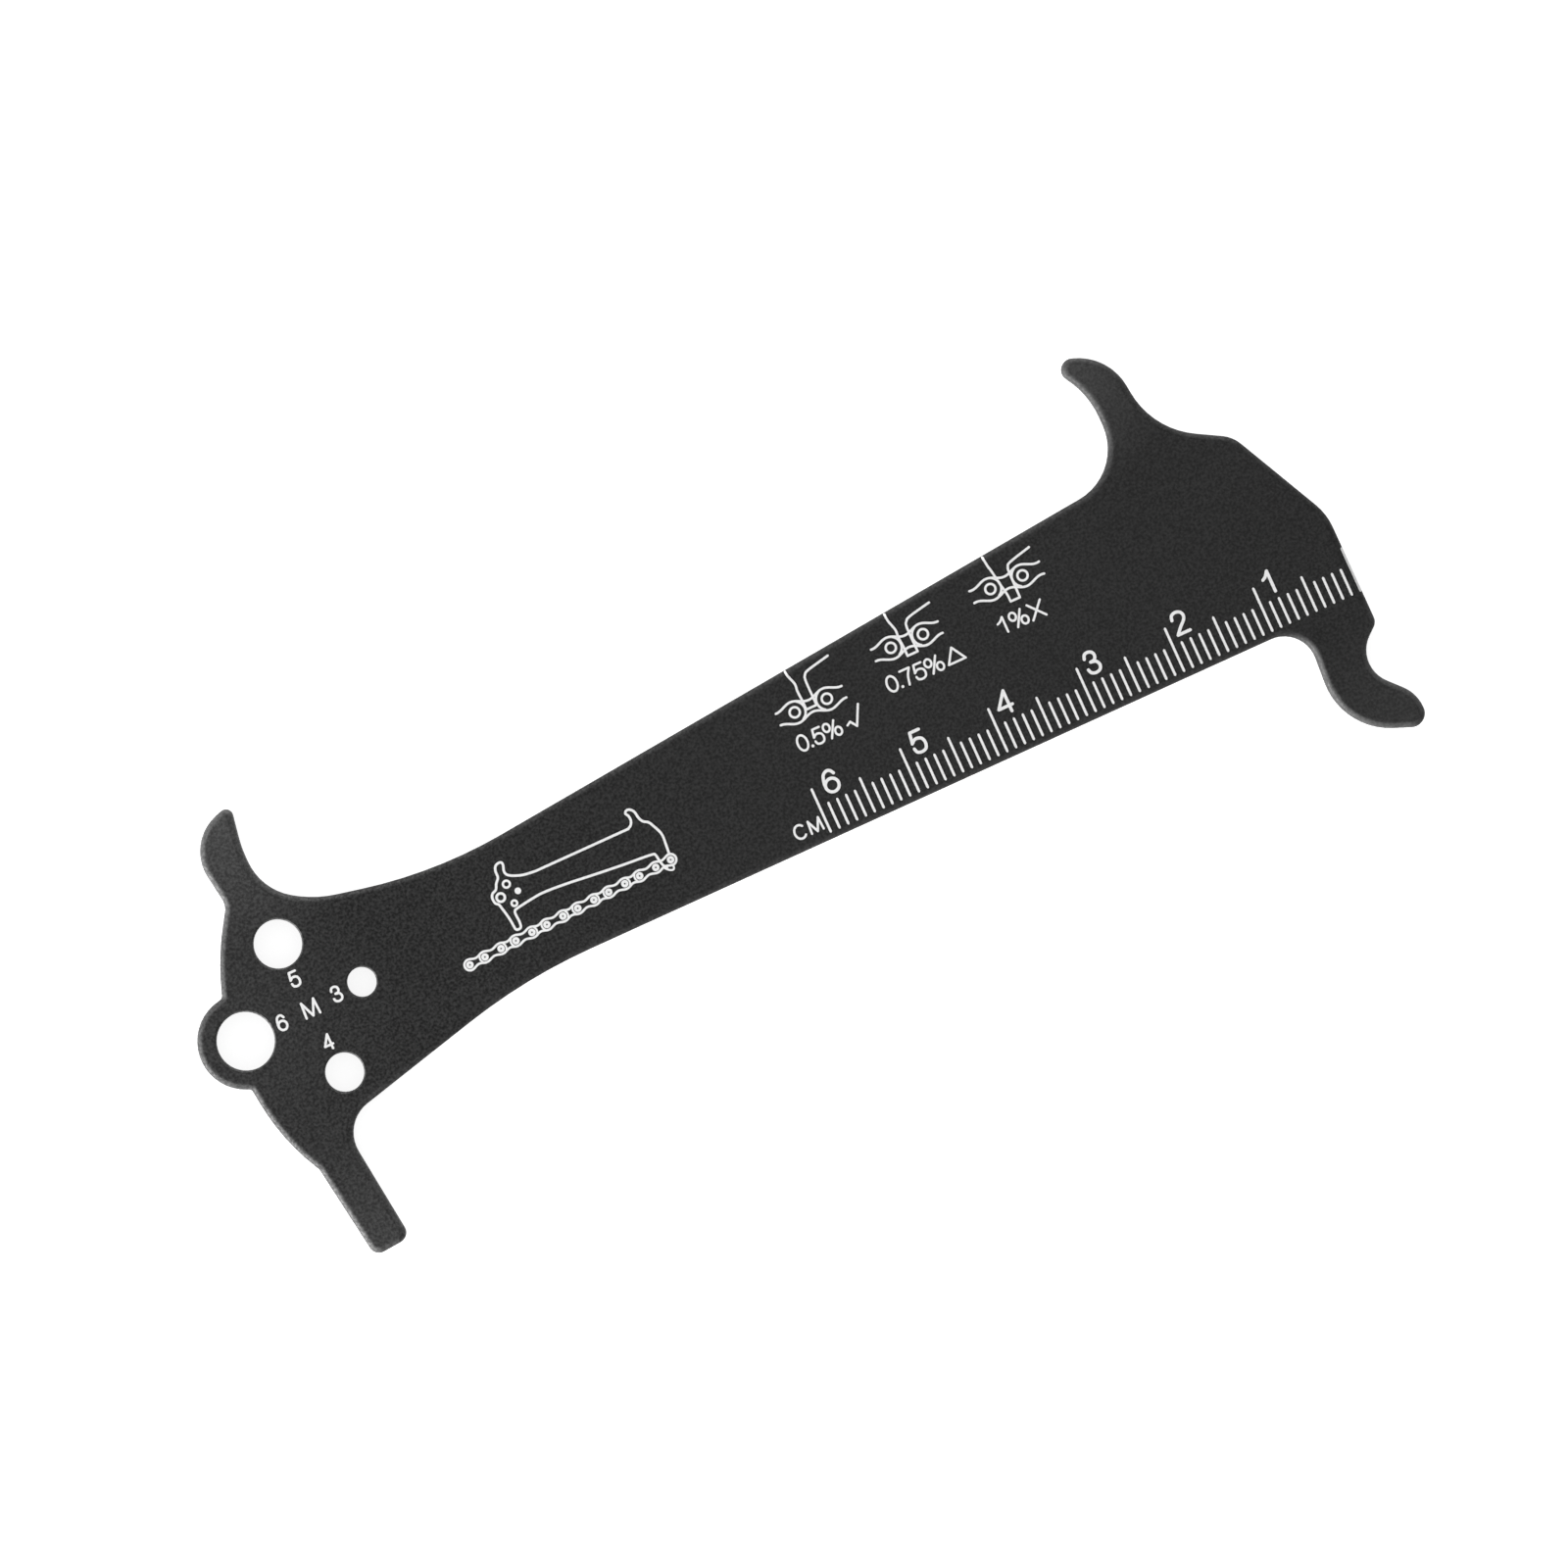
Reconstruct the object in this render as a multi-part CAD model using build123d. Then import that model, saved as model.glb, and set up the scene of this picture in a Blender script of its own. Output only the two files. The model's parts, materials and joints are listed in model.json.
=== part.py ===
from build123d import *
import math
import os

# Chain wear gauge: one flat plate, blanked from sheet steel and tumbled. Blanking rolls the edge of the
# printed face over into a round, and leaves the back's edge sharp until it is broken.
# Lengths are in millimetres and slopes in degrees. The origin is the centre of the eye on the back
# face. X runs along the rule edge to its zero end, Y to the hook, and Z out of the printed face.
# A corner's place is where its two sides would meet if nothing rounded them.

# Sheet
thickness = 2.0
edge_round = 0.7
back_break = 0.25
bore_break = 0.15

# Rule bar: the rule edge is straight, and the upper edge runs away from it towards the zero edge
rule_drop = 6.05
zero_reach = 124.05
bar_width_at_eye = 11.3
bar_width_at_zero = 23.6
rule_start = 29.0
heel_radius = 60.0

# Bolt holes: the eye takes the largest bolt, and the others stand round it
bolt_allowance = 0.1
m6_size = 6.0
m5_size = 5.0
m5_along = 7.17
m5_up = 7.76
m4_size = 4.0
m4_along = 7.98
m4_down = 7.13
m3_size = 3.0
m3_along = 13.45
m3_up = 0.61

# Eye: a round boss with an even wall round the largest hole
eye_wall = 1.95
eye_start = 100.0
eye_end = 247.0
eye_lead = 0.5
eye_neck_radius = 0.5

# Arm: the peg below the eye that the chain is pulled against. Its root leaves a wall under the M4 hole
arm_length = 25.75
arm_root_along = 5.5
arm_root_wall = 2.67
arm_root_radius = 3.8
arm_tip_along = 7.1
arm_tip_width = 4.1
arm_tip_slope = 0.35
arm_tip_radius = 1.1
arm_waist_along = 1.45
arm_waist_drop = 15.2
arm_waist_radius = 1.5
arm_cheek_inset = 0.87
arm_cheek_drop = 10.8
arm_cheek_radius = 24.0

# Horn: the short upright above the eye, with a throat that flares into the upper edge. Its other
# places are taken from its inner side and its tip
horn_height = 23.05
horn_inner_along = 7.85
horn_tip_lean = 0.82
horn_tip_radius = 0.75
horn_bend_drop = 4.6
horn_bend_radius = 12.0
horn_back_width = 5.02
horn_back_drop = 1.9
horn_back_radius = 4.9
horn_waist_width = 3.9
horn_waist_height = 13.6
horn_waist_radius = 2.0
horn_flank_along = 0.92
horn_flank_height = 8.95
horn_flank_radius = 28.0
throat_radius = 6.05
throat_height = 13.65
flare_along = 12.4
flare_height = 10.45
flare_radius = 11.7
fairing_along = 25.0
fairing_radius = 50.0

# Hook: the curved finger over the zero end. Its inner side is placed back from the zero edge, and its
# other places are taken from its inner side and its crown
hook_inner_back = 17.25
hook_crown_height = 27.6
hook_crown_width = 3.55
hook_crown_radius = 5.8
hook_tip_rise = 2.35
hook_tip_reach = 3.25
hook_tip_radius = 1.15
hook_bend_drop = 2.75
hook_bend_radius = 9.15
hook_throat_radius = 6.0
hook_root_width = 4.45
hook_root_height = 18.7
hook_root_radius = 8.6

# Zero end: the zero edge stands square to the rule edge, with a slanted shoulder above it
shoulder_height = 3.35
shoulder_radius = 6.4
slant_back = 5.55
slant_height = 14.6
slant_radius = 3.5

# Probe: the curved finger that drops between two rollers, placed from the zero and rule edges. Its
# heel and nose rise from its tip
probe_back = 6.95
probe_root_radius = 3.4
probe_heel_back = 7.75
probe_heel_rise = 3.45
probe_heel_radius = 7.2
probe_overhang = 0.82
probe_tip_drop = 15.05
probe_tip_radius = 1.45
nose_rise = 3.8
nose_radius = 3.95
notch_depth = 3.95
notch_drop = 6.15
notch_radius = 3.4
lip_drop = 2.85
lip_radius = 1.2

# Share of a side that the roundings at its two ends may take up
side_share = 0.995

rule_edge = -rule_drop


def bore_radius(bolt):
    """Radius of the hole for a bolt."""
    return (bolt + bolt_allowance) / 2


boss_radius = bore_radius(m6_size) + eye_wall


def upper_edge(along):
    """Height of the upper edge at a distance along the bar."""
    rise = (bar_width_at_zero - bar_width_at_eye) / zero_reach
    return rule_edge + bar_width_at_eye + rise * along


def probe_corners():
    """From the rule edge round the probe and its notch to the foot of the zero edge."""
    tip = rule_edge - probe_tip_drop
    return [
        (zero_reach - probe_back, rule_edge, probe_root_radius),
        (zero_reach - probe_heel_back, tip + probe_heel_rise, probe_heel_radius),
        (zero_reach + probe_overhang, tip, probe_tip_radius),
        (zero_reach + probe_overhang, tip + nose_rise, nose_radius),
        (zero_reach - notch_depth, rule_edge - notch_drop, notch_radius),
        (zero_reach, rule_edge - lip_drop, lip_radius),
    ]


def hook_corners():
    """From the zero edge over the slanted shoulder and round the hook to the upper edge."""
    inner = zero_reach - hook_inner_back
    return [
        (zero_reach, shoulder_height, shoulder_radius),
        (zero_reach - slant_back, slant_height, slant_radius),
        (inner + hook_root_width, hook_root_height, hook_root_radius),
        (inner + hook_crown_width, hook_crown_height, hook_crown_radius),
        (inner - hook_tip_reach, hook_crown_height + hook_tip_rise, hook_tip_radius),
        (inner, hook_crown_height - hook_bend_drop, hook_bend_radius),
        (inner, upper_edge(inner), hook_throat_radius),
    ]


def horn_corners():
    """From the upper edge through the flared throat, round the horn and down its flank."""
    return [
        (fairing_along, upper_edge(fairing_along), fairing_radius),
        (flare_along, flare_height, flare_radius),
        (horn_inner_along, throat_height, throat_radius),
        (horn_inner_along, horn_height - horn_bend_drop, horn_bend_radius),
        (horn_inner_along + horn_tip_lean, horn_height, horn_tip_radius),
        (horn_inner_along - horn_back_width, horn_height - horn_back_drop, horn_back_radius),
        (horn_inner_along - horn_waist_width, horn_waist_height, horn_waist_radius),
        (horn_flank_along, horn_flank_height, horn_flank_radius),
    ]


def boss_corners():
    """Tangents to the boss, whose rounding at the boss radius gives its arc, and its two necks."""
    start = math.radians(eye_start)
    end = math.radians(eye_end)
    quarter = (end - start) / 4
    reach = boss_radius / math.cos(quarter)
    neck_reach = math.hypot(boss_radius, eye_lead)
    neck_turn = math.atan2(eye_lead, boss_radius)
    rounds = [
        (neck_reach, start - neck_turn, eye_neck_radius),
        (reach, start + quarter, boss_radius),
        (reach, end - quarter, boss_radius),
        (neck_reach, end + neck_turn, eye_neck_radius),
    ]
    return [(far * math.cos(turn), far * math.sin(turn), radius) for far, turn, radius in rounds]


def arm_corners():
    """From the eye down the arm, round its tip and back up to the rule edge."""
    tip_left = arm_tip_along - arm_tip_width
    root_drop = m4_down + bore_radius(m4_size) + arm_root_wall
    return [
        (-arm_cheek_inset, -arm_cheek_drop, arm_cheek_radius),
        (arm_waist_along, -arm_waist_drop, arm_waist_radius),
        (tip_left, -arm_length, arm_tip_radius),
        (arm_tip_along, -arm_length + arm_tip_slope, arm_tip_radius),
        (arm_root_along, -root_drop, arm_root_radius),
        (rule_start, rule_edge, heel_radius),
    ]


def fitted_radii(points, radii):
    """Radii of the roundings, each held to what its two sides have room for."""
    sides = [points[(i + 1) % len(points)] - points[i] for i in range(len(points))]
    turns = [sides[i - 1].get_angle(sides[i]) for i in range(len(points))]
    tangents = [radius * math.tan(math.radians(turn / 2)) for radius, turn in zip(radii, turns)]
    fits = []
    for i, side in enumerate(sides):
        taken = tangents[i] + tangents[(i + 1) % len(points)]
        fits.append(min(1.0, side_share * side.length / taken))
    return [radius * min(fits[i - 1], fits[i]) for i, radius in enumerate(radii)]


def plate_outline():
    """The outline's corners, anticlockwise from the rule edge, and what each is rounded to."""
    corners = probe_corners() + hook_corners() + horn_corners() + boss_corners() + arm_corners()
    points = [Vector(along, up) for along, up, radius in corners]
    return points, fitted_radii(points, [radius for along, up, radius in corners])


def rounding_room(points, radii):
    """The largest round that fits half the sheet and the tightest corner that points outwards."""
    outward = []
    for i, radius in enumerate(radii):
        before = points[i] - points[i - 1]
        after = points[(i + 1) % len(points)] - points[i]
        if before.cross(after).Z > 0:
            outward.append(radius)
    return side_share * min(thickness / 2, *outward)


def bolt_holes():
    """Place and bore of each bolt hole."""
    places = [
        (0.0, 0.0, m6_size),
        (m5_along, m5_up, m5_size),
        (m4_along, -m4_down, m4_size),
        (m3_along, m3_up, m3_size),
    ]
    return [(along, up, bore_radius(bolt)) for along, up, bolt in places]


def gauge_plate():
    """The blanked plate, its printed face's edge round and its other edges broken."""
    points, radii = plate_outline()
    outline = make_face(FilletPolyline(*points, radius=radii, close=True))
    plate = extrude(outline, amount=thickness)
    room = rounding_room(points, radii)
    plate = fillet(plate.faces().sort_by(Axis.Z)[-1].edges(), min(edge_round, room))
    plate = chamfer(plate.faces().sort_by(Axis.Z)[0].edges(), min(back_break, room))
    for along, up, radius in bolt_holes():
        bore = Cylinder(radius, thickness, align=(Align.CENTER, Align.CENTER, Align.MIN))
        plate -= Pos(along, up, 0) * bore
    bore_rims = plate.edges().filter_by(lambda edge: edge.is_closed)
    return chamfer(bore_rims, min(bore_break, room))


os.makedirs("parts", exist_ok=True)
export_step(gauge_plate(), "parts/gauge_plate.step")
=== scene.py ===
import bpy
import json
import math
from mathutils import Matrix, Vector
from mathutils.geometry import delaunay_2d_cdt


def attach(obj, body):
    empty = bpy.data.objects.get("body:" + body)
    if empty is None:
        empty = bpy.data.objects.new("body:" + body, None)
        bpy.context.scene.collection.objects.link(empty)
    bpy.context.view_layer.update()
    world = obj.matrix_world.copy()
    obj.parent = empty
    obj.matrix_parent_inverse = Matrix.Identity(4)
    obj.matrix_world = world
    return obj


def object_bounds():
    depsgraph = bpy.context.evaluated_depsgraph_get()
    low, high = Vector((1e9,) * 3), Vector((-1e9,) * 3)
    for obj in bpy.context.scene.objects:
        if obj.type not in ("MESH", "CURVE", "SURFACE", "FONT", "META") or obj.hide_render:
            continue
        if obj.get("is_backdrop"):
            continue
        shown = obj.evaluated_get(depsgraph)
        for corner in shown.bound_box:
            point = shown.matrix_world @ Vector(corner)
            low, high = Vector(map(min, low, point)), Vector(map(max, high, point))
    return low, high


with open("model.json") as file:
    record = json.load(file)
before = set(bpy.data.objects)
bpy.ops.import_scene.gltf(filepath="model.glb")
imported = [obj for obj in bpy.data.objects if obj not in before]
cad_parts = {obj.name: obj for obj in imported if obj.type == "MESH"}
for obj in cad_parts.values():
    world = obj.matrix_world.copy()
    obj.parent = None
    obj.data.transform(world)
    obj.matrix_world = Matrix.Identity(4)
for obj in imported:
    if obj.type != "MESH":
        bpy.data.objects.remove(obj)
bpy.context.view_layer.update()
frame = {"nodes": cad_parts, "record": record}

# A flat chain wear gauge: one matt black plate with its rule, bolt sizes and instructions printed in
# white ink. The print is drawn with a round pen in millimetres on the plate's own X and Y, joined into
# flat sheets, and laid on the plate as thin films that follow its round edge.
MM = 0.001
PLATE = frame["nodes"]["gauge_plate"]
MOUNTS = {mount["name"]: mount for mount in frame["record"]["mounts"]}

# Pens, and how finely their curves are stepped
RULE_PEN = 0.26
NUMERAL_PEN = 0.33
LABEL_PEN = 0.235
SIZE_PEN = 0.25
DRAWING_PEN = 0.245
SMALL_PEN = 0.26
SMALL_TIP_PEN = 0.2
CHAIN_PEN = 0.24
ROLLER_PEN = 0.295
BOW_PEN = 0.2
CURVE_STEP = 0.09
FEWEST_STEPS = 4
ROUND_END_SIDES = 12
SHARP_TURN = 40.0
JOIN_GAP = 0.001

# Film: its thickness, how far above the plate it is let go, and how many times thinner than the film
# a gap between its two halves has to be for them to be joined
FILM = 0.02
FILM_DROP = 10.0
FILM_TO_GAP = 200.0

# Rule: millimetre marks on the rule edge, counted back from the zero end
RULE_ZERO = 123.9
RULE_LENGTH = 60
MARK_FOOT = 0.65
SHORT_MARK = 3.67
FIVE_MARK = 4.65
TEN_MARK = 5.65
MARK_COLUMNS = 5
MARK_ROWS = 9

# Numerals: how far right of its mark each one starts, and its width
NUMERAL_FOOT = 4.2
NUMERAL_HEIGHT = 2.6
NUMERALS = {
    "1": (1.1, 1.05),
    "2": (0.8, 1.7),
    "3": (0.9, 1.65),
    "4": (0.8, 1.85),
    "5": (1.2, 1.65),
    "6": (1.25, 1.75),
}

# Unit letters, each with its left side, foot, width and height
UNIT = {"C": (60.3, -4.86, 1.42, 1.68), "M": (61.93, -4.82, 1.56, 1.56)}

# Bolt sizes: each with its hole, and how far from the hole's centre its own middle stands. The thread
# letter is given as the unit letters are
SIZE_WIDTH = 1.15
SIZE_HEIGHT = 1.81
SIZES = {
    "6": ("eye", (4.24, 0.19)),
    "5": ("m5_hole", (0.13, -4.0)),
    "4": ("m4_hole", (-0.25, 3.54)),
    "3": ("m3_hole", (-2.84, -0.04)),
}
THREAD = {"M": (6.63, -0.6, 1.79, 1.88)}

# Wear drawings: the links lean a little against the rule. Their plates swell at each roller, and the
# ends of the next links bow round the rollers
LINK_TURN = -1.4
LINK_PITCH = 3.62
ROLLER_AWAY = 1.8
ROLLER_RADIUS = 0.53
BOW_RADIUS = 1.13
BOW_SPREAD = 60
PLATE_MEAN = 0.9
PLATE_SWELL = 0.26
PLATE_DROP = 0.025
PLATE_STEPS = 60

# Wear labels, and the verdicts beside them, given as the unit letters are
LABEL_HEIGHT = 1.88
POINT_RISE = 0.22
POINT_RADIUS = 0.16
VERDICTS = {
    "tick": (69.88, 3.39, 2.12, 2.26),
    "triangle": (81.98, 5.17, 2.12, 1.78),
    "cross": (91.8, 5.75, 1.72, 1.95),
}

# Small chain: its free end, the way that it runs, and its links between one roller and the next
CHAIN_FOOT = (24.36, -2.4)
CHAIN_WAY = (23.34, 1.31)
FREE_END_LENGTH = 3.62
OPEN_PITCH = 1.87
CLOSED_PITCH = 1.73
CHAIN_PAIRS = 5
FREE_END_RADIUS = 0.57
LAST_END_RADIUS = 0.59
LAST_END_SPREAD = 100
SMALL_ROLLER_RADIUS = 0.24
SMALL_BOW_RADIUS = 0.55
SMALL_BOW_SPREAD = 38
SMALL_PLATE_MEAN = 0.458
SMALL_PLATE_SWELL = 0.112
SMALL_PLATE_STEPS = 16

# Small gauge: each of its holes drawn as a ring, with its place, radius and pen, and its smallest one
# filled
SMALL_RINGS = {
    "eye": (30.12, 2.6, 0.43, 0.27),
    "m5_hole": (31.22, 3.62, 0.36, 0.24),
    "m4_hole": (31.16, 1.49, 0.29, 0.24),
}
SMALL_DISC = (32.02, 2.5, 0.35)

# Noises: the span that most of a noise's values fall in, and how strong its finer parts are
NOISE_CORE = (0.3, 0.7)
NOISE_ROUGHNESS = 0.6

# Coat: the scales of its noises per metre, and the depth of its pits
SPECKLE_SCALE = 3400.0
PIT_SCALE = 4200.0
CLOUD_SCALE = 55.0
COAT_DETAIL = 2.0
PIT_STRENGTH = 0.4
PIT_DEPTH = 0.02

# Coat: its level of grey, what its grain and its clouds make of it, and its sheen. The grain is plainest
# at the eye end
COAT_LEVEL = 0.0102
GRAIN_CORE = (0.36, 0.66)
GRAIN_SWING = (-0.52, 0.52)
GRAIN_MEAN = 1.08
GRAIN_FADES = (20.0 * MM, 70.0 * MM)
GRAIN_CONTRAST = (1.0, 0.6)
CLOUD_SWING = (0.9, 1.1)
COAT_ROUGHNESS = (0.64, 0.54)
COAT_SHEEN = 0.18

# Coat: how round it is by the upright part of its normal, and how much paler its rounds are along the
# plate, partly wear and partly painted highlight, at the probe only below the rule edge
FLAT_TO_ROUND = (0.9995, 0.95)
SIDE_TO_ROUND = (0.0, 0.4)
SIDE_SHARE = 0.3
PROBE_END = (100.0 * MM, 110.0 * MM)
PROBE_BELOW = (-6.5 * MM, -8.5 * MM)
PROBE_WEAR_AND_HIGHLIGHT = (0.0, 0.024)
EYE_END = (8.0 * MM, 20.0 * MM)
EYE_WEAR_AND_HIGHLIGHT = (0.025, 0.006)
WEAR_AND_HIGHLIGHT_GRAIN = (0.0, 2.0)
WEAR_AND_HIGHLIGHT_BY_GRAIN = (0.7, 1.5)

# Coat: the places near its tips where it is paler, each with its reach and how much paler
PALER_TIPS = {
    "horn": ((8.0, 23.0), 15.0, 0.038),
    "hook": ((104.0, 29.5), 14.0, 0.032),
    "arm": ((5.0, -26.0), 16.0, 0.024),
    "probe": ((124.0, -20.5), 13.0, 0.012),
    "eye": ((-3.0, 2.0), 20.0, 0.012),
}

# Ink: the noise of its cover, and what its level, roughness, sheen and relief are
COVER_SCALE = 3800.0
COVER_DETAIL = 3.0
INK_LEVEL = (0.74, 0.86)
INK_ROUGHNESS = (0.6, 0.48)
INK_SHEEN = 0.4
INK_STRENGTH = 0.15
INK_DEPTH = 0.01

# Floor: its reach each way in metres, its gap under the plate, its finish, and its own glow
FLOOR_REACH = 3.0
FLOOR_GAP = 0.05
FLOOR_COLOUR = (0.8, 0.8, 0.8, 1.0)
FLOOR_ROUGHNESS = 0.8
FLOOR_SHEEN = 0.1
FLOOR_GLOW = 0.84

# Lamps: each one's distance, its bearing and rise in degrees, its width and height, and its power in
# watts. Lengths are in metres
SOFTBOXES = {
    "key": (1.0, 192.0, 10.0, 0.64, 0.29, 32.7),
    "fill": (0.7, 72.0, 12.0, 0.45, 0.2, 4.6),
}

# Surroundings: white, with one strength as a light on the plate and another as what is seen
SURROUNDINGS_COLOUR = (1.0, 1.0, 1.0, 1.0)
SURROUNDINGS_STRENGTH = (0.3, 1.0)

# Camera: a long lens straight above the printed face, turned so that the rule climbs to the right
FRAME_WIDTH = 161.6
CAMERA_TURN = -24.45
CAMERA_OVER = (61.54, 1.17)
LENS = 200.0
SENSOR = 36.0
NEAREST = 0.01
FARTHEST = 20.0


def mount_place(name):
    """Place of a mount on the plate, in millimetres."""
    return Vector(MOUNTS[name]["pos_m"][:2]) / MM


def placed(name, data):
    """An object in the scene."""
    thing = bpy.data.objects.new(name, data)
    bpy.context.scene.collection.objects.link(thing)
    return thing


# Pen work


def arc(x, y, reach, rise, start, end):
    """Points on an ellipse from one angle to another, in degrees."""
    sweep = math.radians(end - start)
    steps = max(FEWEST_STEPS, math.ceil(abs(sweep) * max(reach, rise) / CURVE_STEP))
    turns = [math.radians(start) + sweep * step / steps for step in range(steps + 1)]
    return [(x + reach * math.cos(turn), y + rise * math.sin(turn)) for turn in turns]


def smooth(*points):
    """A curve through the points, with its ends straight."""
    spots = [Vector(point) for point in points]
    spots = [2 * spots[0] - spots[1]] + spots + [2 * spots[-1] - spots[-2]]
    curve = []
    for before, start, end, after in zip(spots, spots[1:], spots[2:], spots[3:]):
        steps = max(1, math.ceil((end - start).length / CURVE_STEP))
        for step in range(steps):
            t = step / steps
            pull = (end - before) * t + (2 * before - 5 * start + 4 * end - after) * t ** 2
            pull += (3 * start - before - 3 * end + after) * t ** 3
            curve.append(start + pull / 2)
    return curve + [spots[-2]]


def disc(x, y, radius):
    """A filled round, with flats at its top, foot and sides."""
    turns = [2 * math.pi * (side + 0.5) / ROUND_END_SIDES for side in range(ROUND_END_SIDES)]
    return [(x + radius * math.cos(turn), y + radius * math.sin(turn)) for turn in turns]


def stroke(points, pen, closed=False, rounded=True):
    """The quads of a pen stroke, and rounds at its sharp turns and at the ends that aren't cut square.

    A closed path ends where it starts.
    """
    spots = [Vector(point) for point in points]
    if closed:
        spots[-1] = spots[0]
    heads = [(end - start).normalized() for start, end in zip(spots, spots[1:])]
    shapes = []
    edges = []
    for place, spot in enumerate(spots):
        inward = heads[place - 1] if place or closed else None
        outward = heads[place % len(heads)] if place < len(heads) or closed else None
        if inward and outward and math.degrees(inward.angle(outward)) < SHARP_TURN:
            middle = (inward + outward).normalized()
            side = Vector((-middle.y, middle.x)) * pen / 2 / middle.dot(inward)
            edges.append((side, side))
            continue
        if rounded or (inward and outward):
            shapes.append(disc(spot.x, spot.y, pen / 2))
        sides = [Vector((-head.y, head.x)) * pen / 2 if head else None for head in (inward, outward)]
        edges.append(sides)
    for place in range(len(heads)):
        start, end = spots[place], spots[place + 1]
        left, right = edges[place][1], edges[place + 1][0]
        shapes.append([start - left, end - right, end + right, start + left])
    return shapes


def strokes(paths, pen):
    """Pen strokes along several paths."""
    return [shape for path in paths for shape in stroke(path, pen)]


def ring(x, y, radius, pen):
    """A pen stroke round a circle."""
    return stroke(arc(x, y, radius, radius, 0, 360), pen, closed=True)


def bow(x, radius, start, end, pen):
    """A pen stroke round a part of a circle on the line of a chain."""
    return stroke(arc(x, 0.0, radius, radius, start, end), pen)


def half_width(span, mean, swell, pitch):
    """Half the width of a link's plates at a span from a roller, where they are widest."""
    return mean + swell * math.cos(2 * math.pi * span / pitch)


# Lettering: each character is a list of pen paths in a box one wide and one high


def letter_paths():
    """The characters that the print needs."""
    two_neck = [(0.02, 0.71), (0.13, 0.92), (0.48, 1), (0.84, 0.92), (0.97, 0.72), (0.82, 0.52)]
    two_back = [(0.42, 0.29), (0, 0)]
    three_top = [(0.04, 0.76), (0.17, 0.94), (0.47, 1), (0.8, 0.92), (0.9, 0.74), (0.75, 0.57)]
    three_waist = [(0.4, 0.53)]
    three_foot = [(0.82, 0.47), (1, 0.27), (0.86, 0.07), (0.48, 0), (0.12, 0.08), (0, 0.25)]
    five_bowl = [(0.02, 0.5), (0.26, 0.62), (0.52, 0.65), (0.87, 0.56), (1, 0.33), (0.87, 0.08)]
    five_foot = [(0.48, 0), (0.12, 0.07), (0, 0.25)]
    six_back = [(0.94, 0.79), (0.78, 0.95), (0.5, 1), (0.17, 0.86), (0.01, 0.52), (0, 0.31)]
    return {
        "0": [arc(0.5, 0.5, 0.5, 0.5, 0, 360)],
        "1": [smooth((0, 0.68), (0.5, 0.78), (1, 1)), [(1, 1), (1, 0)]],
        "2": [smooth(*two_neck, *two_back), [(0, 0), (1, 0)]],
        "3": [smooth(*three_top, *three_waist), smooth(*three_waist, *three_foot)],
        "4": [[(0.78, 0), (0.78, 1), (0, 0.28), (1, 0.28)]],
        "5": [[(0.93, 1), (0.17, 1), (0.02, 0.5)], smooth(*five_bowl, *five_foot)],
        "6": [smooth(*six_back), arc(0.5, 0.31, 0.5, 0.31, 0, 360)],
        "7": [[(0, 1), (1, 1)], smooth((1, 1), (0.62, 0.55), (0.42, 0))],
        "C": [arc(0.5, 0.5, 0.5, 0.5, 42, 318)],
        "M": [[(0, 0), (0.06, 1), (0.5, 0), (0.94, 1), (1, 0)]],
        "%": [
            arc(0.2, 0.74, 0.2, 0.26, 0, 360),
            arc(0.8, 0.26, 0.2, 0.26, 0, 360),
            [(0.76, 1), (0.26, 0)],
        ],
        "tick": [[(0, 0.22), (0.21, 0.34), (0.47, 0), (1, 1)]],
        "triangle": [[(0.5, 1), (0, 0), (1, 0), (0.5, 1)]],
        "cross": [[(0, 1), (1, 0)], [(1, 1), (0, 0)]],
    }


LETTERS = letter_paths()


def letter(name, left, foot, width, height, pen):
    """A character in its outer box, in millimetres."""
    wide, high = width - pen, height - pen
    paths = []
    for path in LETTERS[name]:
        paths.append([(left + pen / 2 + x * wide, foot + pen / 2 + y * high) for x, y in path])
    return strokes(paths, pen)


def boxed(characters, pen):
    """Several characters, each given with its outer box."""
    return [shape for name, box in characters.items() for shape in letter(name, *box, pen)]


# Sheets and films


def listed(shapes):
    """All the shapes' corners in one list, and each shape as its places in it."""
    corners = [Vector(point) for shape in shapes for point in shape]
    faces = []
    for shape in shapes:
        first = faces[-1][-1] + 1 if faces else 0
        faces.append(list(range(first, first + len(shape))))
    return corners, faces


def joined_sheet(shapes):
    """Corners and triangles of one flat sheet that covers all the shapes, overlaps and all."""
    corners, faces = listed(shapes)
    points, _, triangles, _, _, covering = delaunay_2d_cdt(corners, [], faces, 0, JOIN_GAP, True)
    kept = [triangle for triangle, shape in zip(triangles, covering) if shape]
    return [point * MM for point in points], kept


def flat_mesh(name, points, faces):
    """A mesh at height nought from points in metres and faces that turn leftwards."""
    mesh = bpy.data.meshes.new(name)
    mesh.from_pydata([(point[0], point[1], 0.0) for point in points], [], faces)
    mesh.update()
    return mesh


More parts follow.
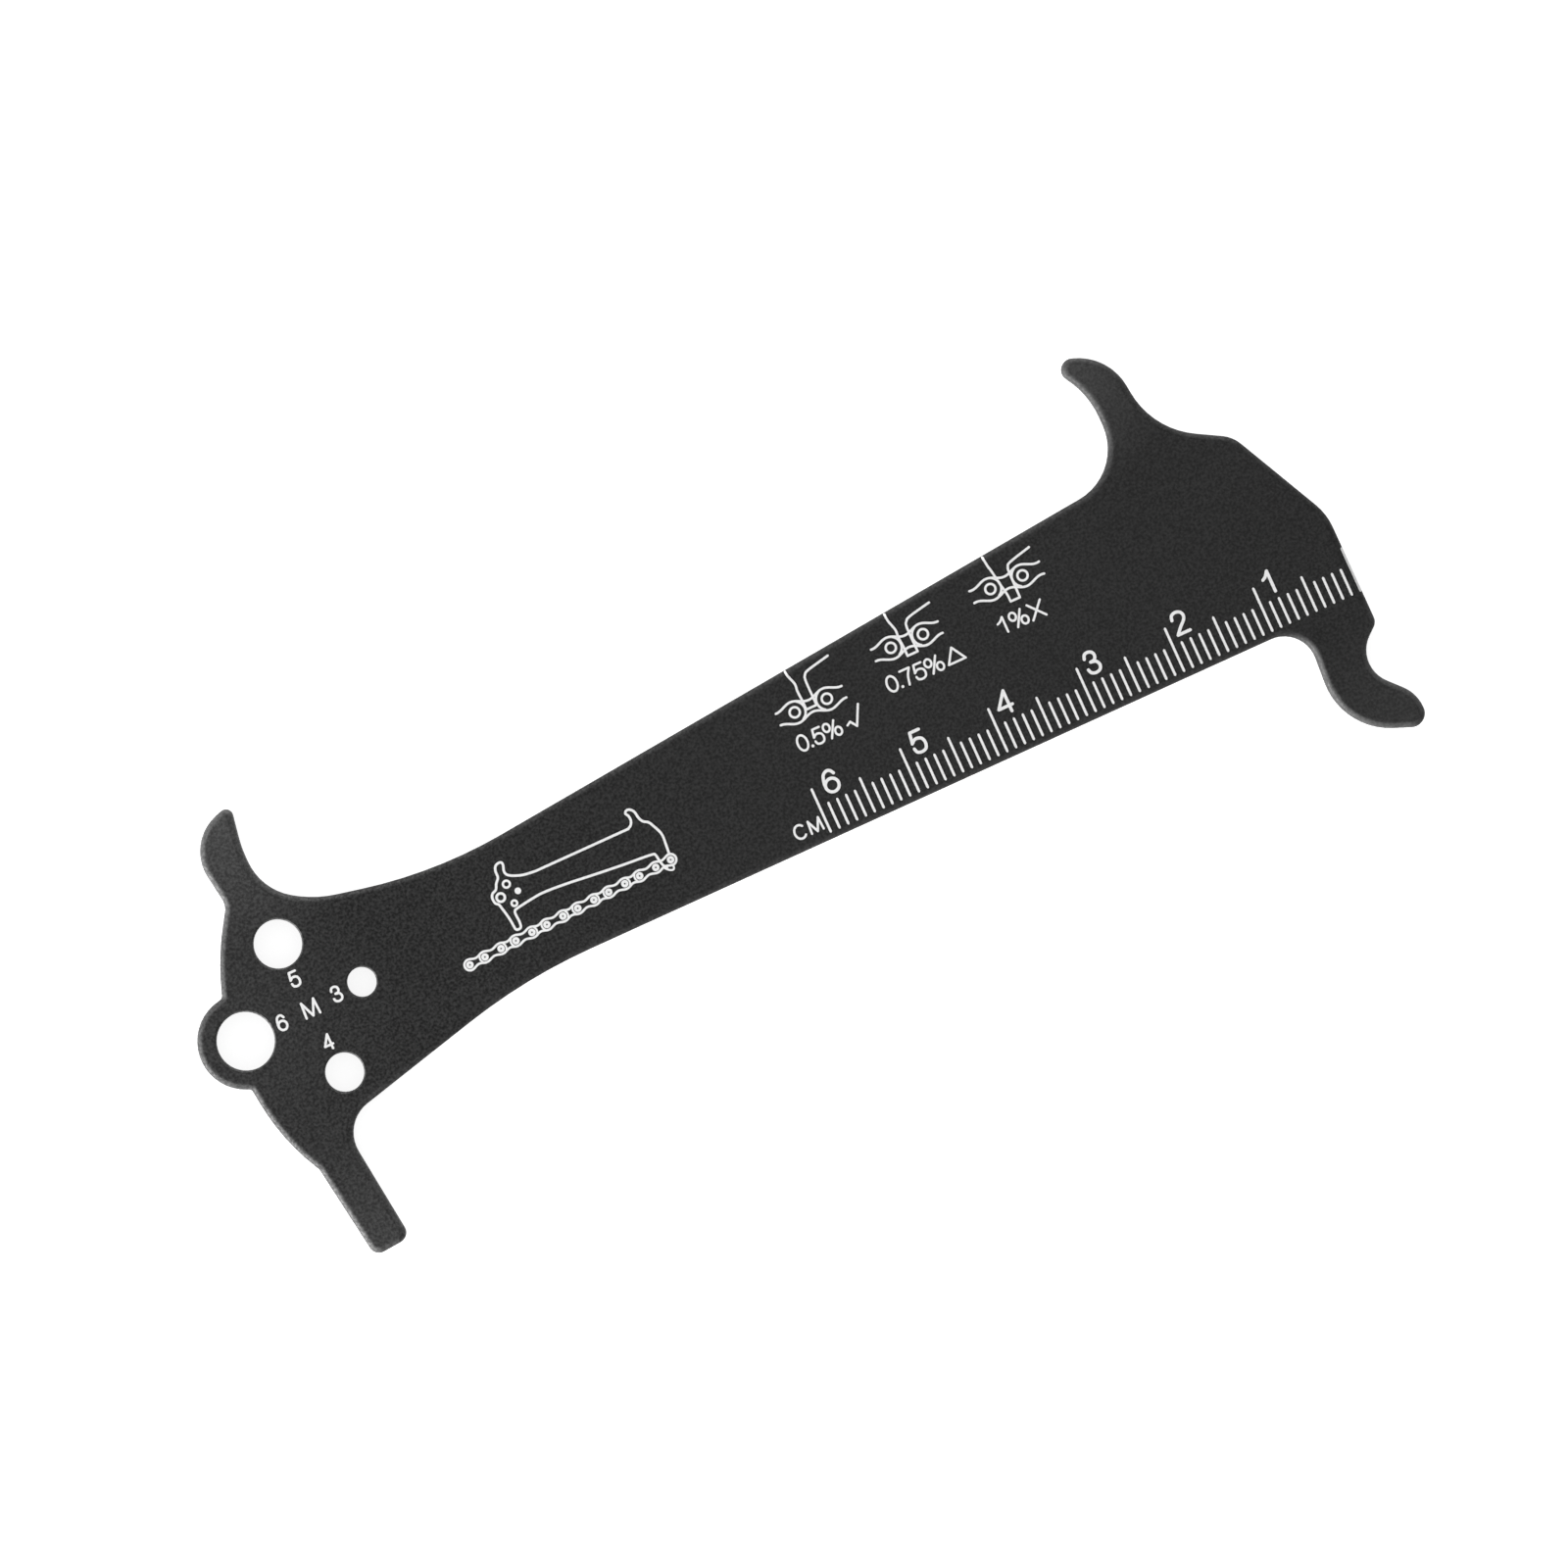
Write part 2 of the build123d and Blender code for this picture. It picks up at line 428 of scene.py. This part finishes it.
class Net:
    """A node tree with short calls for adding and joining nodes."""

    def __init__(self, tree):
        self.tree = tree

    def node(self, kind, links=None, **settings):
        """Adds a node, sets it and fills its inputs by name or number."""
        node = self.tree.nodes.new(kind)
        for setting, value in settings.items():
            setattr(node, setting, value)
        for socket, value in (links or {}).items():
            self.feed(node.inputs[socket], value)
        return node

    def feed(self, socket, value):
        """Links an output to a socket, or sets the socket's own value."""
        if isinstance(value, bpy.types.NodeSocket):
            self.tree.links.new(value, socket)
        else:
            socket.default_value = value

    def math(self, operation, *values):
        """Result of a sum."""
        return self.node("ShaderNodeMath", dict(enumerate(values)), operation=operation).outputs[0]

    def vector(self, **parts):
        """A vector from its X, Y and Z."""
        return self.node("ShaderNodeCombineXYZ", parts).outputs[0]

    def parts(self, vector):
        """The X, Y and Z of a vector."""
        return self.node("ShaderNodeSeparateXYZ", {0: vector}).outputs


def new_shape_tree(name, inputs):
    """A shape tree with a geometry way through and named inputs."""
    tree = bpy.data.node_groups.new(name, "GeometryNodeTree")
    tree.interface.new_socket("Geometry", in_out="INPUT", socket_type="NodeSocketGeometry")
    for label, kind in inputs.items():
        tree.interface.new_socket(label, in_out="INPUT", socket_type="NodeSocket" + kind)
    tree.interface.new_socket("Geometry", in_out="OUTPUT", socket_type="NodeSocketGeometry")
    net = Net(tree)
    return net, net.node("NodeGroupInput").outputs, net.node("NodeGroupOutput").inputs


def end_tree(net, geometry, ink, output):
    """Closes a tree: instances made real, and the ink put on."""
    real = net.node("GeometryNodeRealizeInstances", {"Geometry": geometry}).outputs[0]
    inked = net.node("GeometryNodeSetMaterial", {"Geometry": real, "Material": ink})
    net.feed(output["Geometry"], inked.outputs[0])


def captured(net, geometry, kind, name, value):
    """A geometry that keeps a value of each of its points under a name."""
    keeper = net.node("GeometryNodeCaptureAttribute", {"Geometry": geometry})
    keeper.capture_items.new(kind, name)
    net.feed(keeper.inputs[name], value)
    return keeper.outputs


def choose(net, choice, no, yes):
    """One value or the other."""
    inputs = {"Switch": choice, "False": no, "True": yes}
    return net.node("GeometryNodeSwitch", inputs, input_type="FLOAT").outputs[0]


def each(net, number, count):
    """True at nought and at every number that the count divides."""
    return net.math("LESS_THAN", net.math("FLOORED_MODULO", number, count), 0.5)


def rule_marks_tree():
    """Round-ended marks at an even pitch, longer at each fifth and longest at each tenth."""
    lengths = ("Pitch", "Pen", "Zero", "Foot", "Short Top", "Five Top", "Ten Top")
    inputs = {"Count": "Int", **{length: "Float" for length in lengths}, "Ink": "Material"}
    net, given, output = new_shape_tree("rule marks", inputs)
    step = net.vector(X=net.math("MULTIPLY", given["Pitch"], -1.0))
    start = net.vector(X=given["Zero"])
    row = net.node(
        "GeometryNodeMeshLine",
        {"Count": given["Count"], "Start Location": start, "Offset": step},
    )
    bar = net.node(
        "GeometryNodeMeshGrid",
        {"Size X": given["Pen"], "Size Y": 1.0, "Vertices X": MARK_COLUMNS, "Vertices Y": MARK_ROWS},
    )
    index = net.node("GeometryNodeInputIndex").outputs[0]
    place = net.node("GeometryNodeInputPosition").outputs[0]
    numbered = captured(net, row.outputs[0], "INT", "Number", index)
    shaped = captured(net, bar.outputs["Mesh"], "VECTOR", "Place", place)
    marks = net.node(
        "GeometryNodeInstanceOnPoints",
        {"Points": numbered["Geometry"], "Instance": shaped["Geometry"]},
    )
    real = net.node("GeometryNodeRealizeInstances", {"Geometry": marks.outputs[0]}).outputs[0]
    number = numbered["Number"]
    five = choose(net, each(net, number, 5.0), given["Short Top"], given["Five Top"])
    top = choose(net, each(net, number, 10.0), five, given["Ten Top"])
    own = net.parts(shaped["Place"])
    radius = net.math("DIVIDE", given["Pen"], 2.0)
    half = net.math("DIVIDE", net.math("SUBTRACT", top, given["Foot"]), 2.0)
    aside = net.math("POWER", net.math("ABSOLUTE", own["X"]), 2.0)
    chord = net.math("SUBTRACT", net.math("POWER", radius, 2.0), aside)
    bulge = net.math("SQRT", net.math("MAXIMUM", chord, 0.0))
    reach = net.math("ADD", net.math("SUBTRACT", half, radius), bulge)
    middle = net.math("ADD", given["Foot"], half)
    height = net.math("MULTIPLY_ADD", net.math("MULTIPLY", own["Y"], 2.0), reach, middle)
    spot = net.vector(X=net.parts(place)["X"], Y=height)
    drawn = net.node("GeometryNodeSetPosition", {"Geometry": real, "Position": spot}).outputs[0]
    end_tree(net, drawn, given["Ink"], output)
    return net.tree


def repeat_tree():
    """Copies of one shape at an even step along a straight line, each turned the same way."""
    inputs = {"Count": "Int", "Start": "Vector", "Step": "Vector", "Turn": "Float", "Ink": "Material"}
    net, given, output = new_shape_tree("repeat along a line", inputs)
    row = net.node(
        "GeometryNodeMeshLine",
        {"Count": given["Count"], "Start Location": given["Start"], "Offset": given["Step"]},
    )
    turn = net.vector(Z=given["Turn"])
    copies = net.node(
        "GeometryNodeInstanceOnPoints",
        {"Points": row.outputs[0], "Instance": given["Geometry"], "Rotation": turn},
    )
    end_tree(net, copies.outputs[0], given["Ink"], output)
    return net.tree


def film_tree():
    """A flat sheet dropped on the plate's face and given a film's thickness."""
    inputs = {"Plate": "Object", "Film": "Float", "Above": "Float", "Ink": "Material"}
    net, given, output = new_shape_tree("film on the plate", inputs)
    plate = net.node("GeometryNodeObjectInfo", {"Object": given["Plate"]}, transform_space="RELATIVE")
    place = net.node("GeometryNodeInputPosition").outputs[0]
    lift = net.vector(Z=given["Above"])
    source = net.node("ShaderNodeVectorMath", {0: place, 1: lift}, operation="ADD").outputs[0]
    ray = net.node(
        "GeometryNodeRaycast",
        {
            "Target Geometry": plate.outputs["Geometry"],
            "Source Position": source,
            "Ray Direction": (0.0, 0.0, -1.0),
            "Ray Length": net.math("MULTIPLY", given["Above"], 2.0),
        },
    ).outputs
    laid = net.node(
        "GeometryNodeSetPosition",
        {"Geometry": given["Geometry"], "Selection": ray["Is Hit"], "Position": ray["Hit Position"]},
    ).outputs[0]
    top = net.node(
        "GeometryNodeExtrudeMesh",
        {"Mesh": laid, "Offset Scale": given["Film"], "Individual": False},
    )
    under = net.node("GeometryNodeFlipFaces", {"Mesh": laid})
    both = net.node("GeometryNodeJoinGeometry")
    for half in (top, under):
        net.tree.links.new(half.outputs["Mesh"], both.inputs[0])
    gap = net.math("DIVIDE", given["Film"], FILM_TO_GAP)
    closed = net.node("GeometryNodeMergeByDistance", {"Geometry": both.outputs[0], "Distance": gap})
    end_tree(net, closed.outputs[0], given["Ink"], output)
    return net.tree


def grown(name, mesh, tree, values):
    """Plain mesh that a shape tree makes from a mesh."""
    thing = placed(name, mesh)
    modifier = thing.modifiers.new(name, "NODES")
    modifier.node_group = tree
    for socket in tree.interface.items_tree:
        if socket.in_out == "INPUT" and socket.name in values:
            modifier[socket.identifier] = values[socket.name]
    seen = thing.evaluated_get(bpy.context.evaluated_depsgraph_get())
    plain = bpy.data.meshes.new_from_object(seen)
    plain.name = name
    bpy.data.objects.remove(thing)
    return plain


def outlines(mesh):
    """Faces of a flat mesh as shapes in millimetres."""
    corners = [Vector((vertex.co.x, vertex.co.y)) / MM for vertex in mesh.vertices]
    return [[corners[corner] for corner in face.vertices] for face in mesh.polygons]


def print_on_plate(name, mesh, ink, film):
    """Lays a flat sheet on the plate as a film of ink."""
    values = {"Plate": PLATE, "Film": FILM * MM, "Above": FILM_DROP * MM, "Ink": ink}
    piece = placed(name, grown(name, mesh, film, values))
    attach(piece, "root")


def print_shapes(name, shapes, ink, film):
    """Joins shapes into one sheet and lays it on the plate."""
    print_on_plate(name, flat_mesh(name, *joined_sheet(shapes)), ink, film)


# Finishes


def new_finish(name):
    """A material, its net, and its shader."""
    finish = bpy.data.materials.new(name)
    finish.use_nodes = True
    return finish, Net(finish.node_tree), finish.node_tree.nodes["Principled BSDF"]


def mottle(net, place, scale, detail):
    """A soft noise from nought to one at a scale per metre."""
    return net.node(
        "ShaderNodeTexNoise",
        {"Vector": place, "Scale": scale, "Detail": detail, "Roughness": NOISE_ROUGHNESS},
    ).outputs[0]


def spread(net, value, given, wanted=(0.0, 1.0)):
    """A value mapped from a given span to a wanted one, and held to its ends."""
    spans = {"From Min": given[0], "From Max": given[1], "To Min": wanted[0], "To Max": wanted[1]}
    return net.node("ShaderNodeMapRange", {"Value": value, **spans}).outputs[0]


def paint(net, shader, level, roughness, sheen):
    """Gives a shader a level of grey, a roughness and a sheen."""
    grey = net.node("ShaderNodeCombineColor", {"Red": level, "Green": level, "Blue": level})
    net.feed(shader.inputs["Base Color"], grey.outputs[0])
    net.feed(shader.inputs["Roughness"], roughness)
    net.feed(shader.inputs["Specular IOR Level"], sheen)


def relief(net, shader, height, strength, depth):
    """Gives a shader a fine relief, its depth in millimetres."""
    bump = net.node("ShaderNodeBump", {"Strength": strength, "Distance": depth * MM, "Height": height})
    net.feed(shader.inputs["Normal"], bump.outputs[0])


def coat_roundness(net):
    """Nought on a flat face, one on the round of an edge, and a share of it on sides and back."""
    lean = net.node("ShaderNodeNewGeometry").outputs["Normal"]
    upright = net.parts(lean)["Z"]
    sides = spread(net, upright, SIDE_TO_ROUND, (SIDE_SHARE, 1.0))
    return net.math("MULTIPLY", spread(net, upright, FLAT_TO_ROUND), sides)


def coat_wear_highlight_and_tips(net, place, axes):
    """How much paler the coat is drawn: on its rounds partly wear and partly painted highlight, and near
    its tips.
    """
    # The rounds at the probe's lower side and towards the eye end are drawn paler: partly wear, partly
    # painted highlight
    probe_end = spread(net, axes["X"], PROBE_END, PROBE_WEAR_AND_HIGHLIGHT)
    probe_end = net.math("MULTIPLY", probe_end, spread(net, axes["Y"], PROBE_BELOW))
    wear_and_highlight = net.math("ADD", probe_end, spread(net, axes["X"], EYE_END, EYE_WEAR_AND_HIGHLIGHT))
    wear_highlight_and_tips = net.math("MULTIPLY", coat_roundness(net), wear_and_highlight)
    for (x, y), reach, paler in PALER_TIPS.values():
        tip = (x * MM, y * MM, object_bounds()[1][2])
        away = net.node("ShaderNodeVectorMath", {0: place, 1: tip}, operation="DISTANCE")
        near = spread(net, away.outputs["Value"], (reach * MM, 0.0), (0.0, paler))
        wear_highlight_and_tips = net.math("ADD", wear_highlight_and_tips, near)
    return wear_highlight_and_tips


def black_coat():
    """Matt black coat on tumbled steel: speckled, paler near its tips, and paler where it is round,
    partly wear and partly painted highlight.
    """
    finish, net, shader = new_finish("matt black coat")
    place = net.node("ShaderNodeTexCoord").outputs["Object"]
    axes = net.parts(place)
    speckle = mottle(net, place, SPECKLE_SCALE, COAT_DETAIL)
    contrast = spread(net, axes["X"], GRAIN_FADES, GRAIN_CONTRAST)
    swing = spread(net, speckle, GRAIN_CORE, GRAIN_SWING)
    grain = net.math("MULTIPLY_ADD", swing, contrast, GRAIN_MEAN)
    cloud = spread(net, mottle(net, place, CLOUD_SCALE, COAT_DETAIL), NOISE_CORE, CLOUD_SWING)
    level = net.math("MULTIPLY", net.math("MULTIPLY", grain, cloud), COAT_LEVEL)
    uneven = spread(net, grain, WEAR_AND_HIGHLIGHT_GRAIN, WEAR_AND_HIGHLIGHT_BY_GRAIN)
    # Paler rounds, partly wear and partly painted highlight, and paler tips are added to the coat's grey
    level = net.math("MULTIPLY_ADD", coat_wear_highlight_and_tips(net, place, axes), uneven, level)
    roughness = spread(net, speckle, NOISE_CORE, COAT_ROUGHNESS)
    paint(net, shader, level, roughness, net.math("MULTIPLY", grain, COAT_SHEEN))
    relief(net, shader, mottle(net, place, PIT_SCALE, COAT_DETAIL), PIT_STRENGTH, PIT_DEPTH)
    return finish


def white_ink():
    """Screen-printed white ink: a little uneven in its cover, with a soft sheen."""
    finish, net, shader = new_finish("white ink")
    place = net.node("ShaderNodeTexCoord").outputs["Object"]
    cover = mottle(net, place, COVER_SCALE, COVER_DETAIL)
    level = spread(net, cover, NOISE_CORE, INK_LEVEL)
    paint(net, shader, level, spread(net, cover, NOISE_CORE, INK_ROUGHNESS), INK_SHEEN)
    relief(net, shader, cover, INK_STRENGTH, INK_DEPTH)
    return finish


# Print


def rule_marks(ink):
    """A flat sheet of sixty millimetres of marks along the rule edge."""
    edge = mount_place("rule_edge").y
    values = {
        "Count": RULE_LENGTH + 1,
        "Pitch": MM,
        "Pen": RULE_PEN * MM,
        "Zero": RULE_ZERO * MM,
        "Foot": (edge + MARK_FOOT) * MM,
        "Short Top": (edge + SHORT_MARK) * MM,
        "Five Top": (edge + FIVE_MARK) * MM,
        "Ten Top": (edge + TEN_MARK) * MM,
        "Ink": ink,
    }
    return grown("rule_marks", bpy.data.meshes.new("rule_marks"), rule_marks_tree(), values)


def rule_numerals():
    """Centimetre numerals to the right of their marks, and the unit at the low end of the rule."""
    foot = mount_place("rule_edge").y + NUMERAL_FOOT
    shapes = []
    for name, (right, width) in NUMERALS.items():
        left = RULE_ZERO - 10 * int(name) + right
        shapes += letter(name, left, foot, width, NUMERAL_HEIGHT, NUMERAL_PEN)
    return shapes + boxed(UNIT, LABEL_PEN)


def bolt_sizes():
    """Each hole's bolt size beside it, and the thread letter between them."""
    shapes = []
    for name, (mount, offset) in SIZES.items():
        middle = mount_place(mount) + Vector(offset)
        left, foot = middle.x - SIZE_WIDTH / 2, middle.y - SIZE_HEIGHT / 2
        shapes += letter(name, left, foot, SIZE_WIDTH, SIZE_HEIGHT, SIZE_PEN)
    return shapes + boxed(THREAD, SIZE_PEN)


def wear_drawing(middle, ends, left, right):
    """A chain's inner link over two rollers, with the probe's two sides let down between them."""
    spans = [ends[0] + (ends[1] - ends[0]) * step / PLATE_STEPS for step in range(PLATE_STEPS + 1)]
    widths = [half_width(span - ROLLER_AWAY, PLATE_MEAN, PLATE_SWELL, LINK_PITCH) for span in spans]
    shapes = []
    for side, facing in ((-1, 0), (1, 180)):
        roller = side * ROLLER_AWAY
        shapes += ring(roller, 0.0, ROLLER_RADIUS, DRAWING_PEN)
        shapes += bow(roller, BOW_RADIUS, facing - BOW_SPREAD, facing + BOW_SPREAD, DRAWING_PEN)
        edge = [(span, side * width - PLATE_DROP) for span, width in zip(spans, widths)]
        shapes += stroke(edge, DRAWING_PEN)
    centre = Vector(middle)
    turned = Matrix.Rotation(math.radians(LINK_TURN), 2)
    shapes = [[centre + turned @ Vector(corner) for corner in shape] for shape in shapes]
    return shapes + strokes([smooth(*left) + smooth(*right)], DRAWING_PEN)


def wear_drawings():
    """Three drawings of the probe in a chain: good, part worn and worn out."""
    good = wear_drawing(
        (67.4, 7.39),
        (-3.65, 3.7),
        [(66.41, 11.66), (66.48, 11.15), (66.81, 10.1), (66.75, 9.3), (66.81, 8.2), (66.81, 7.2)],
        [(67.97, 7.2), (67.97, 9.8), (68.15, 10.5), (68.7, 10.84), (71.11, 11.35)],
    )
    part_worn = wear_drawing(
        (79.165, 9.345),
        (-3.75, 3.72),
        [(78.18, 12.82), (78.25, 12.0), (78.56, 10.88), (78.52, 10.03), (78.6, 8.93), (78.6, 7.92)],
        [(79.74, 7.92), (79.74, 10.53), (79.96, 11.22), (80.56, 11.56), (82.88, 12.02)],
    )
    worn_out = wear_drawing(
        (91.015, 10.615),
        (-3.88, 3.92),
        [(89.8, 13.97), (89.93, 12.9), (90.05, 12.4), (90.33, 10.7), (90.56, 9.5), (90.6, 8.63)],
        [(91.64, 8.63), (91.69, 11.2), (91.78, 11.95), (92.25, 12.36), (94.62, 12.95)],
    )
    return good + part_worn + worn_out


def wear_labels():
    """The stretch that each drawing stands for, and its verdict.

    Each character comes with its left side and width.
    """
    half = [("0", 64.4, 1.28), (".", 65.88, 0.0), ("5", 66.2, 1.22), ("%", 67.43, 1.97)]
    three_quarters = [
        ("0", 75.3, 1.3), (".", 76.85, 0.0), ("7", 77.02, 1.3), ("5", 78.42, 1.3), ("%", 79.7, 2.04),
    ]
    whole = [("1", 88.28, 0.92), ("%", 89.62, 2.04)]
    shapes = []
    for foot, characters in ((3.29, half), (5.02, three_quarters), (5.78, whole)):
        for name, left, width in characters:
            if name == ".":
                shapes.append(disc(left, foot + POINT_RISE, POINT_RADIUS))
            else:
                shapes += letter(name, left, foot, width, LABEL_HEIGHT, LABEL_PEN)
    return shapes + boxed(VERDICTS, LABEL_PEN)


def small_link(start, pitch, bowed=()):
    """Shapes of a link from one roller to the next, its waist drawn in, with a bow at each end named."""
    spans = [pitch * step / SMALL_PLATE_STEPS for step in range(SMALL_PLATE_STEPS + 1)]
    widths = [half_width(span, SMALL_PLATE_MEAN, SMALL_PLATE_SWELL, pitch) for span in spans]
    bows = {
        "left": (start, SMALL_BOW_SPREAD, -SMALL_BOW_SPREAD),
        "right": (start + pitch, 180 - SMALL_BOW_SPREAD, 180 + SMALL_BOW_SPREAD),
    }
    shapes = []
    for side in (-1, 1):
        edge = [(start + span, side * width) for span, width in zip(spans, widths)]
        shapes += stroke(edge, CHAIN_PEN, rounded=False)
    for end in bowed:
        x, first, last = bows[end]
        shapes += bow(x, SMALL_BOW_RADIUS, first, last, BOW_PEN)
    return shapes


def small_roller(x):
    """Shapes of a roller, left open at its pin."""
    return ring(x, 0.0, SMALL_ROLLER_RADIUS, ROLLER_PEN)


def small_chain(ink):
    """Shapes of the small chain: its free end, then rollers by twos with closed and open links."""
    along = Vector(CHAIN_WAY).normalized()
    free_end = Vector(CHAIN_FOOT)
    first_pair = free_end + FREE_END_LENGTH * along
    step = (OPEN_PITCH + CLOSED_PITCH) * along
    end_pitch = FREE_END_LENGTH - OPEN_PITCH
    left_end = bow(0.0, FREE_END_RADIUS, 90, 270, CHAIN_PEN)
    left_end += small_roller(0.0) + small_link(0.0, end_pitch, ["right"]) + small_roller(end_pitch)
    lead = small_link(-OPEN_PITCH, OPEN_PITCH) + small_roller(0.0) + small_roller(CLOSED_PITCH)
    pair = lead + small_link(0.0, CLOSED_PITCH, ["left", "right"])
    right_end = lead + small_link(0.0, CLOSED_PITCH)
    right_end += bow(CLOSED_PITCH, LAST_END_RADIUS, -LAST_END_SPREAD, LAST_END_SPREAD, CHAIN_PEN)
    rows = {
        "small_chain_left_end": (left_end, 1, free_end),
        "small_chain_pairs": (pair, CHAIN_PAIRS, first_pair),
        "small_chain_right_end": (right_end, 1, first_pair + CHAIN_PAIRS * step),
    }
    tree = repeat_tree()
    shapes = []
    for name, (shape, count, place) in rows.items():
        corners, faces = listed(shape)
        values = {
            "Count": count,
            "Start": (place.x * MM, place.y * MM, 0.0),
            "Step": (step.x * MM, step.y * MM, 0.0),
            "Turn": math.atan2(along.y, along.x),
            "Ink": ink,
        }
        row = flat_mesh(name, [corner * MM for corner in corners], faces)
        shapes += outlines(grown(name, row, tree, values))
    return shapes


def small_gauge():
    """Pen strokes of the small gauge that lies on the chain."""
    left_side = smooth(
        (30.15, -0.95), (30.03, 0.3), (29.78, 1.5), (29.65, 2.0), (29.36, 2.3), (29.3, 2.9),
        (29.52, 3.3), (30.0, 3.55), (30.3, 4.1), (30.7, 4.6), (30.75, 5.3), (30.95, 5.75),
        (31.3, 5.93), (31.65, 5.88), (31.72, 5.55), (31.55, 5.0), (31.6, 4.6), (31.9, 4.3),
        (32.5, 4.0), (33.3, 3.75), (34.5, 3.6),
    )
    hook = smooth(
        (45.0, 3.6), (45.4, 3.85), (45.62, 4.3), (45.58, 4.8), (45.4, 5.15), (45.6, 5.4),
        (45.95, 5.35), (46.3, 4.95), (46.45, 4.2), (46.7, 3.7), (47.2, 3.35), (47.5, 2.8),
        (47.85, 2.0), (47.95, 1.4), (47.9, 0.7), (47.8, -0.35),
    )
    lower_side = smooth(
        (30.15, -0.95), (30.3, -1.12), (30.63, -1.12), (30.79, -0.93), (30.85, -0.4), (30.81, 0.3),
        (30.87, 0.7), (31.2, 0.88), (33.0, 1.15), (34.5, 1.25), (37.0, 1.08), (40.0, 0.75),
        (43.0, 0.45), (46.0, 0.2), (46.45, 0.0), (46.55, -0.5), (46.7, -1.2), (47.0, -1.7),
    )
    probe_tip = smooth(
        (46.7, -1.55), (46.95, -1.85), (47.25, -2.08), (47.55, -2.12), (47.68, -1.85), (47.5, -1.6),
    )
    shapes = strokes([left_side + hook, lower_side], SMALL_PEN)
    for x, y, radius, pen in SMALL_RINGS.values():
        shapes += ring(x, y, radius, pen)
    return shapes + [disc(*SMALL_DISC)] + stroke(probe_tip, SMALL_TIP_PEN)


# Studio


def shown(net):
    """One for a ray that shows what it meets, straight, mirrored or through glass, else nought."""
    ray = net.node("ShaderNodeLightPath").outputs
    seen = net.math("MAXIMUM", ray["Is Camera Ray"], ray["Is Glossy Ray"])
    return net.math("MAXIMUM", seen, ray["Is Transmission Ray"])


def floor():
    """A pale floor that keeps the plate's shadow and shows white to the camera."""
    finish, net, shader = new_finish("pale floor")
    net.feed(shader.inputs["Base Color"], FLOOR_COLOUR)
    net.feed(shader.inputs["Roughness"], FLOOR_ROUGHNESS)
    net.feed(shader.inputs["Specular IOR Level"], FLOOR_SHEEN)
    strength = net.math("MULTIPLY", shown(net), FLOOR_GLOW)
    glow = net.node("ShaderNodeEmission", {"Strength": strength}).outputs[0]
    both = net.node("ShaderNodeAddShader", {0: shader.outputs[0], 1: glow}).outputs[0]
    net.feed(finish.node_tree.nodes["Material Output"].inputs["Surface"], both)
    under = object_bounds()[0][2] - FLOOR_GAP * MM
    ways = ((-1, -1), (1, -1), (1, 1), (-1, 1))
    corners = [(x * FLOOR_REACH, y * FLOOR_REACH, under) for x, y in ways]
    mesh = bpy.data.meshes.new("floor")
    mesh.from_pydata(corners, [], [(0, 1, 2, 3)])
    mesh.materials.append(finish)
    ground = placed("floor", mesh)
    ground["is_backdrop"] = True


def softbox(name, away, turn, lift, width, height, power):
    """A soft light at a distance, bearing and height, aimed at the middle of the plate."""
    light = bpy.data.lights.new(name, "AREA")
    light.shape = "RECTANGLE"
    light.size = width
    light.size_y = height
    light.energy = power
    turn, lift = math.radians(turn), math.radians(lift)
    out = math.cos(lift)
    toward = Vector((math.cos(turn) * out, math.sin(turn) * out, math.sin(lift)))
    aim = toward.to_track_quat("Z", "Y").to_matrix().to_4x4()
    middle = Vector((CAMERA_OVER[0] * MM, CAMERA_OVER[1] * MM, 0.0))
    placed(name, light).matrix_world = Matrix.Translation(middle + toward * away) @ aim


def studio():
    """White surroundings, dimmer for the light that they give, a low key and a weak fill.

    In the picture the key stands at the lower left, and the fill at the top.
    """
    world = bpy.data.worlds.new("studio")
    bpy.context.scene.world = world
    world.use_nodes = True
    net = Net(world.node_tree)
    backdrop = world.node_tree.nodes["Background"]
    net.feed(backdrop.inputs["Color"], SURROUNDINGS_COLOUR)
    net.feed(backdrop.inputs["Strength"], spread(net, shown(net), (0.0, 1.0), SURROUNDINGS_STRENGTH))
    for name, settings in SOFTBOXES.items():
        softbox(name, *settings)


def camera():
    """A long lens straight above the plate."""
    lens = bpy.data.cameras.new("camera")
    lens.lens = LENS
    lens.sensor_width = SENSOR
    lens.clip_start = NEAREST
    lens.clip_end = FARTHEST
    viewer = placed("camera", lens)
    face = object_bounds()[1][2]
    away = FRAME_WIDTH * MM * LENS / SENSOR
    viewer.location = (CAMERA_OVER[0] * MM, CAMERA_OVER[1] * MM, face + away)
    viewer.rotation_euler = (0.0, 0.0, math.radians(CAMERA_TURN))
    bpy.context.scene.camera = viewer


camera()
studio()

PLATE.data.materials.clear()
PLATE.data.materials.append(black_coat())

INK = white_ink()
FILM_TREE = film_tree()
print_on_plate("rule_marks", rule_marks(INK), INK, FILM_TREE)
print_shapes("rule_numerals", rule_numerals(), INK, FILM_TREE)
print_shapes("bolt_sizes", bolt_sizes(), INK, FILM_TREE)
print_shapes("wear_drawings", wear_drawings(), INK, FILM_TREE)
print_shapes("wear_labels", wear_labels(), INK, FILM_TREE)
print_shapes("chain_drawing", small_chain(INK) + small_gauge(), INK, FILM_TREE)

floor()

bpy.context.scene.view_settings.view_transform = "Standard"
